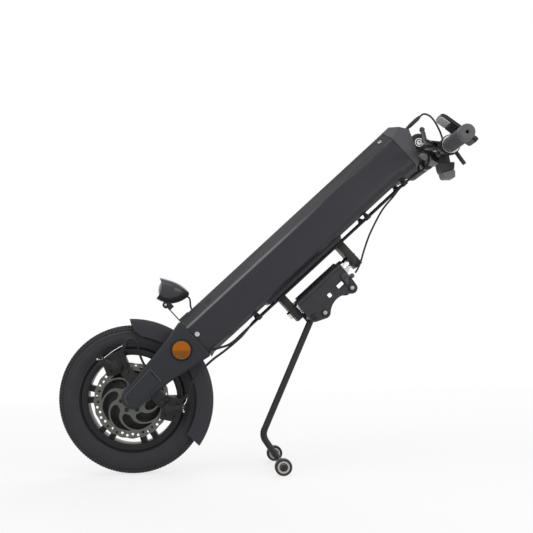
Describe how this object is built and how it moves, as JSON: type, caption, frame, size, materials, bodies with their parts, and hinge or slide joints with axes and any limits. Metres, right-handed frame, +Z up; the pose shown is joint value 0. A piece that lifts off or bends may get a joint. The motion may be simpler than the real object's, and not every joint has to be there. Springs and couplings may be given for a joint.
{
  "type": "wheelchair power assist",
  "caption": "Clip-on front-wheel power drive for a wheelchair: hub-motor wheel, slanted battery body, short handlebar with brakes and throttle, steering dock and folding stand.",
  "frame": {"origin": "on the floor under the middle of the bounding box", "axes": "+Z up, +X from the driven wheel towards the rider, +Y to the rider's right"},
  "size_m": [0.8876, 0.41, 0.7504],
  "materials": {
    "tyre_rubber": "matt moulded rubber",
    "rim_black": "black satin paint",
    "magnet_steel": "plated",
    "rotor_steel": "ground steel",
    "bolt_dark": "blackened steel",
    "bearing_steel": "bright steel",
    "axle_steel": "turned steel",
    "stator_copper": "wound copper",
    "fork_black": "black powder coat",
    "cover_plastic": "grained black plastic",
    "reflector_amber": "clear amber",
    "bolt_bright": "plated steel",
    "guard_plastic": "satin black plastic",
    "caliper_black": "black anodised",
    "arm_steel": "bright steel",
    "body_black": "black satin powder coat",
    "cap_black": "grained black plastic",
    "pack_blue": "blue shrink wrap",
    "controller_alu": "bare cast",
    "clip_plastic": "black plastic",
    "bracket_steel": "grey zinc",
    "lamp_black": "satin black",
    "lens_clear": "clear ribbed",
    "cord_black": "black sheath",
    "bracket_black": "black powder coat",
    "headset_bright": "polished",
    "dock_black": "black powder coat",
    "latch_steel": "zinc",
    "stand_black": "black powder coat",
    "caster_rubber": "grey-black rubber",
    "stem_black": "black anodised",
    "bar_black": "black satin",
    "grip_rubber": "knurled rubber",
    "lever_black": "black satin",
    "throttle_black": "moulded",
    "pod_plastic": "moulded",
    "button_red": "moulded",
    "display_black": "moulded",
    "display_dark": "dark window",
    "sleeve_grey": "moulded"
  },
  "bodies": {
    "frame": {"axle": "axle_steel", "stator": "stator_copper", "axle_nuts": "axle_steel", "fork_leg_left": "fork_black", "fork_leg_right": "fork_black", "fork_cover_left": "cover_plastic", "fork_cover_right": "cover_plastic", "reflectors": "reflector_amber", "fork_crown": "fork_black", "frame_bolts": "bolt_bright", "mudguard": "guard_plastic", "calipers": "caliper_black", "body_shell": "body_black", "top_cap": "cap_black", "battery_pack": "pack_blue", "controller": "controller_alu", "cable_clips": "clip_plastic", "lamp_bracket": "bracket_steel", "lamp_wire": "cord_black", "bracket_base": "bracket_black", "bracket_arms": "bracket_black", "kingpin": "headset_bright", "release_cable": "cord_black", "pivot_bolt": "bolt_bright", "brake_cables": "cord_black", "control_cable": "cord_black", "connector_sleeve": "sleeve_grey"},
    "wheel": {"tyre": "tyre_rubber", "rim": "rim_black", "hub_cover": "rim_black", "magnet_ring": "magnet_steel", "brake_rotor": "rotor_steel", "rotor_bolts": "bolt_dark", "wheel_bearings": "bearing_steel"},
    "front_arm": {"caliper_arm_front": "arm_steel"},
    "rear_arm": {"caliper_arm_rear": "arm_steel"},
    "lamp": {"lamp_shell": "lamp_black", "lamp_lens": "lens_clear"},
    "dock": {"headset_cups": "headset_bright", "dock_head": "dock_black", "dock_plates": "dock_black", "dock_bolts": "bolt_bright"},
    "latch": {"latch_lever": "latch_steel"},
    "stand": {"stand_leg": "stand_black"},
    "caster_left": {"caster_left": "caster_rubber"},
    "caster_right": {"caster_right": "caster_rubber"},
    "steering_bar": {"stem": "stem_black", "bar_clamp": "stem_black", "handlebar": "bar_black", "grips": "grip_rubber", "lever_perches": "lever_black", "throttle_body": "throttle_black", "switch_pod": "pod_plastic", "display": "display_black", "display_glass": "display_dark"},
    "lever_left": {"brake_lever_left": "lever_black"},
    "lever_right": {"brake_lever_right": "lever_black"},
    "paddle": {"throttle_paddle": "throttle_black"},
    "button": {"switch_button": "button_red"}
  },
  "joints": [
    {"name": "wheel_spin", "type": "hinge", "parent": "frame", "child": "wheel", "pos_m": [-0.2848, 0, 0.159], "axis": [0, 1, 0], "continuous": true},
    {"name": "front_arm_pull", "type": "hinge", "parent": "frame", "child": "front_arm", "pos_m": [-0.31347, -0.072, 0.23369], "axis": [0, 1, 0], "range_deg": [0, 9]},
    {"name": "rear_arm_pull", "type": "hinge", "parent": "frame", "child": "rear_arm", "pos_m": [-0.20695, -0.072, 0.1406], "axis": [0, -1, 0], "range_deg": [0, 9]},
    {"name": "lamp_tilt", "type": "hinge", "parent": "frame", "child": "lamp", "pos_m": [-0.20813, 0, 0.35817], "axis": [0, 1, 0], "range_deg": [-12, 12], "deforming": ["lamp_wire"]},
    {"name": "dock_steer", "type": "hinge", "parent": "frame", "child": "dock", "pos_m": [0.12719, 0, 0.38543], "axis": [0.7581, 0, 0.6521], "range_deg": [-30, 30], "deforming": ["release_cable"]},
    {"name": "latch_turn", "type": "hinge", "parent": "dock", "child": "latch", "pos_m": [0.17109, -0.042, 0.4034], "axis": [0, 1, 0], "range_deg": [0, 20], "stiffness_Nm_per_rad": 0.2},
    {"name": "stand_fold", "type": "hinge", "parent": "dock", "child": "stand", "pos_m": [0.10539, 0, 0.32183], "axis": [0, -1, 0], "range_deg": [0, 80]},
    {"name": "caster_left_spin", "type": "hinge", "parent": "stand", "child": "caster_left", "pos_m": [0.02272, -0.1, 0.0177], "axis": [0, 1, 0], "continuous": true},
    {"name": "caster_right_spin", "type": "hinge", "parent": "stand", "child": "caster_right", "pos_m": [0.02272, 0.1, 0.0177], "axis": [0, 1, 0], "continuous": true},
    {"name": "stem_tilt", "type": "hinge", "parent": "frame", "child": "steering_bar", "pos_m": [0.33419, 0, 0.6769], "axis": [0, 1, 0], "range_deg": [-20, 20], "deforming": ["brake_cables", "control_cable"]},
    {"name": "lever_left_pull", "type": "hinge", "parent": "steering_bar", "child": "lever_left", "pos_m": [0.34856, -0.078, 0.6644], "axis": [0.1392, 0, 0.9903], "range_deg": [0, 16], "stiffness_Nm_per_rad": 1},
    {"name": "lever_right_pull", "type": "hinge", "parent": "steering_bar", "child": "lever_right", "pos_m": [0.34856, 0.078, 0.6644], "axis": [-0.1392, 0, -0.9903], "range_deg": [0, 16], "stiffness_Nm_per_rad": 1},
    {"name": "throttle_push", "type": "hinge", "parent": "steering_bar", "child": "paddle", "pos_m": [0.38421, -0.095, 0.65939], "axis": [0, 1, 0], "range_deg": [0, 30], "stiffness_Nm_per_rad": 0.15},
    {"name": "button_press", "type": "slide", "parent": "steering_bar", "child": "button", "axis": [-1, 0, 0], "range_m": [0, 0.0015], "stiffness_N_per_m": 400}
  ],
  "couplings": [
    {"joint": "front_arm_pull", "follows": "lever_left_pull", "ratio": 0.5},
    {"joint": "rear_arm_pull", "follows": "lever_right_pull", "ratio": 0.5}
  ]
}
